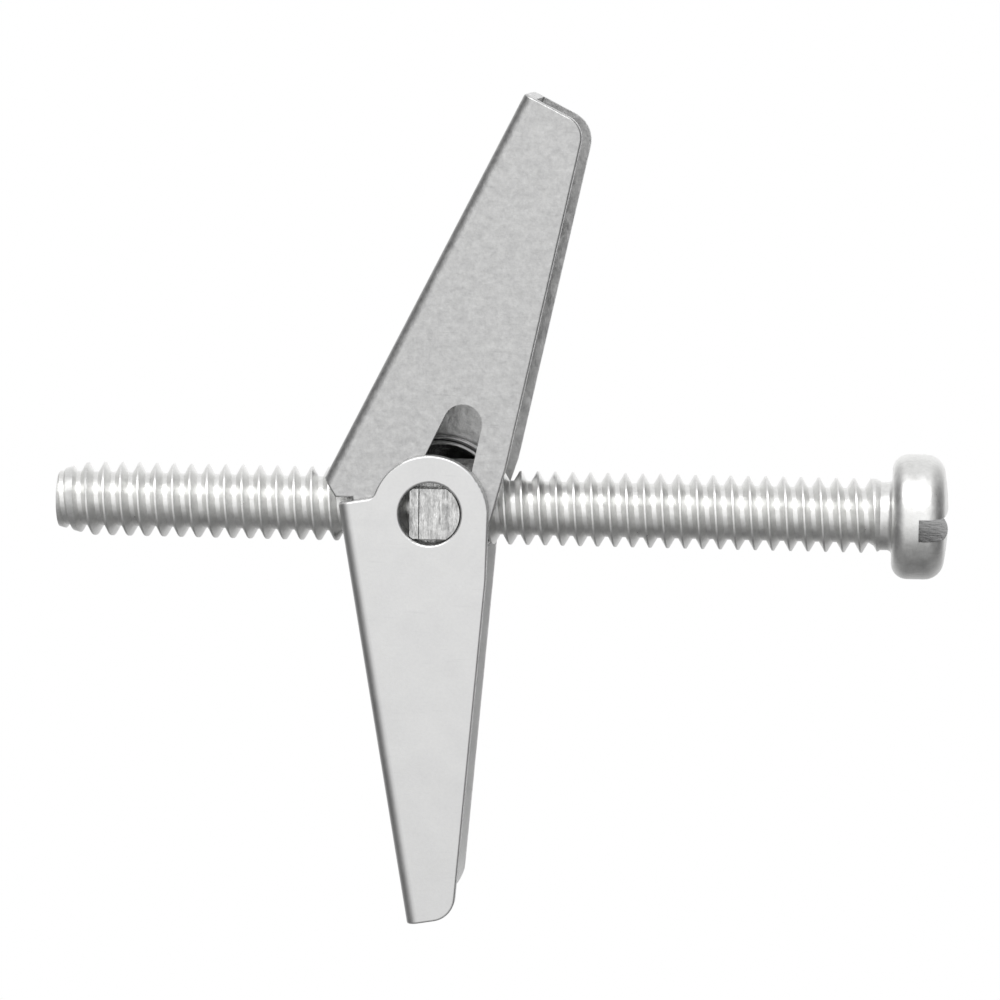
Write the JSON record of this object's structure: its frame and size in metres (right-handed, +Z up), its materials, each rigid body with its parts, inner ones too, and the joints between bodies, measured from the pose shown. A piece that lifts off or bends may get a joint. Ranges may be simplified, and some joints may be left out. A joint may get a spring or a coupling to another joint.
{
  "type": "wall anchor",
  "caption": "Spring-wing toggle bolt: a slotted machine screw through a trunnion nut whose two folding channel wings spring open behind a hollow wall.",
  "frame": {"origin": "centre of the screw head's bearing face", "axes": "+X along the screw out through the head, +Z up through the upper wing, +Y along the wings' pivot"},
  "size_m": [0.0539, 0.0092, 0.0499],
  "materials": {
    "plated_screw": "bright zinc-plated steel",
    "plated_nut": "bright zinc-plated steel sheet",
    "spring_steel": "plated spring wire",
    "plated_wing": "bright zinc-plated steel sheet, mottled"
  },
  "bodies": {
    "screw": {"machine_screw": "plated_screw"},
    "nut": {"trunnion_nut": "plated_nut", "torsion_spring": "spring_steel"},
    "upper_wing": {"upper_wing": "plated_wing"},
    "lower_wing": {"lower_wing": "plated_wing"}
  },
  "joints": [
    {"name": "nut_travel", "type": "slide", "parent": "screw", "child": "nut", "axis": [1, 0, 0], "range_m": [-0.02, 0.0024]},
    {"name": "upper_wing_fold", "type": "hinge", "parent": "nut", "child": "upper_wing", "pos_m": [-0.02749, 0, 0], "axis": [0, 1, 0], "range_deg": [0, 63.1], "stiffness_Nm_per_rad": 0.01, "springref_deg": -57.3, "deforming": ["torsion_spring"]},
    {"name": "lower_wing_fold", "type": "hinge", "parent": "nut", "child": "lower_wing", "pos_m": [-0.02749, 0, 0], "axis": [0, -1, 0], "range_deg": [0, 80.1], "stiffness_Nm_per_rad": 0.01, "springref_deg": -57.3, "deforming": ["torsion_spring"]}
  ]
}
